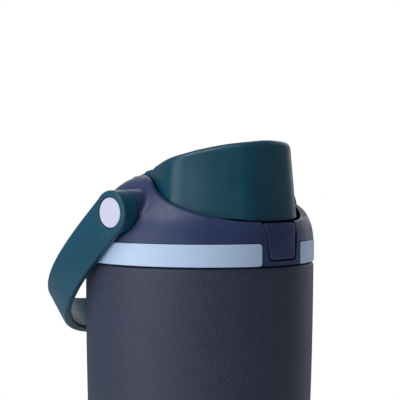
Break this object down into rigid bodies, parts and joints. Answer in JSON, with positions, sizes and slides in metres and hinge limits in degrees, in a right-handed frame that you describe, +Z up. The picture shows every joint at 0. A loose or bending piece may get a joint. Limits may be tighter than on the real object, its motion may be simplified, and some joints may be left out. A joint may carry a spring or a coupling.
{
  "type": "water bottle",
  "caption": "Insulated steel water bottle with a hinged flip cover, push-button latch, spout and straw, and a swinging strap handle.",
  "frame": {"origin": "centre of the base's flat underside, on the bottle's axis", "axes": "+Z up along the bottle's axis, -Y to the front where the button is, +X to the right when the front is faced"},
  "size_m": [0.1072, 0.1136, 0.2764],
  "materials": {
    "coat": "fine-grained matt powder coat, slate navy",
    "steel": "brushed stainless steel",
    "navy_plastic": "satin moulded plastic, navy",
    "teal_plastic": "satin moulded plastic, dark teal",
    "sky_plastic": "satin moulded plastic, pale blue",
    "lilac_plastic": "satin moulded plastic, pale lilac",
    "straw_plastic": "smooth translucent plastic",
    "silicone": "matt grey silicone"
  },
  "bodies": {
    "flask": {"outer_shell": "coat", "inner_flask": "steel", "base_plate": "steel"},
    "seal_ring": {"neck_gasket": "silicone"},
    "lid": {"lid_shell": "navy_plastic", "lid_liner": "navy_plastic", "trim_band": "sky_plastic", "spout": "sky_plastic", "straw": "straw_plastic", "straw_adapter": "silicone", "vent_valve": "silicone", "hinge_pin": "steel", "torsion_spring": "steel", "button_spring": "steel", "pivot_pin_left": "steel", "pivot_pin_right": "steel"},
    "cover": {"cover_shell": "teal_plastic", "cover_liner": "teal_plastic", "spout_seal": "silicone"},
    "button": {"latch_button": "navy_plastic"},
    "carry_handle": {"handle": "teal_plastic", "pivot_cap_left": "lilac_plastic", "pivot_cap_right": "lilac_plastic", "pivot_washer_left": "straw_plastic", "pivot_washer_right": "straw_plastic"}
  },
  "joints": [
    {"name": "lid_lift", "type": "slide", "parent": "flask", "child": "seal_ring", "axis": [0, 0, 1], "range_m": [0, 0.228]},
    {"name": "lid_turn", "type": "hinge", "parent": "seal_ring", "child": "lid", "pos_m": [0, 0, 0.23], "axis": [0, 0, 1], "range_deg": [0, 486]},
    {"name": "handle_swing", "type": "hinge", "parent": "lid", "child": "carry_handle", "pos_m": [0, 0, 0.2461], "axis": [1, 0, 0], "range_deg": [0, 260]},
    {"name": "cover_hinge", "type": "hinge", "parent": "lid", "child": "cover", "pos_m": [0, 0.023, 0.2562], "axis": [-1, 0, 0], "range_deg": [0, 105]},
    {"name": "button_press", "type": "slide", "parent": "lid", "child": "button", "axis": [0, 1, 0], "range_m": [0, 0.0012], "stiffness_N_per_m": 800, "springref_m": -0.001}
  ]
}
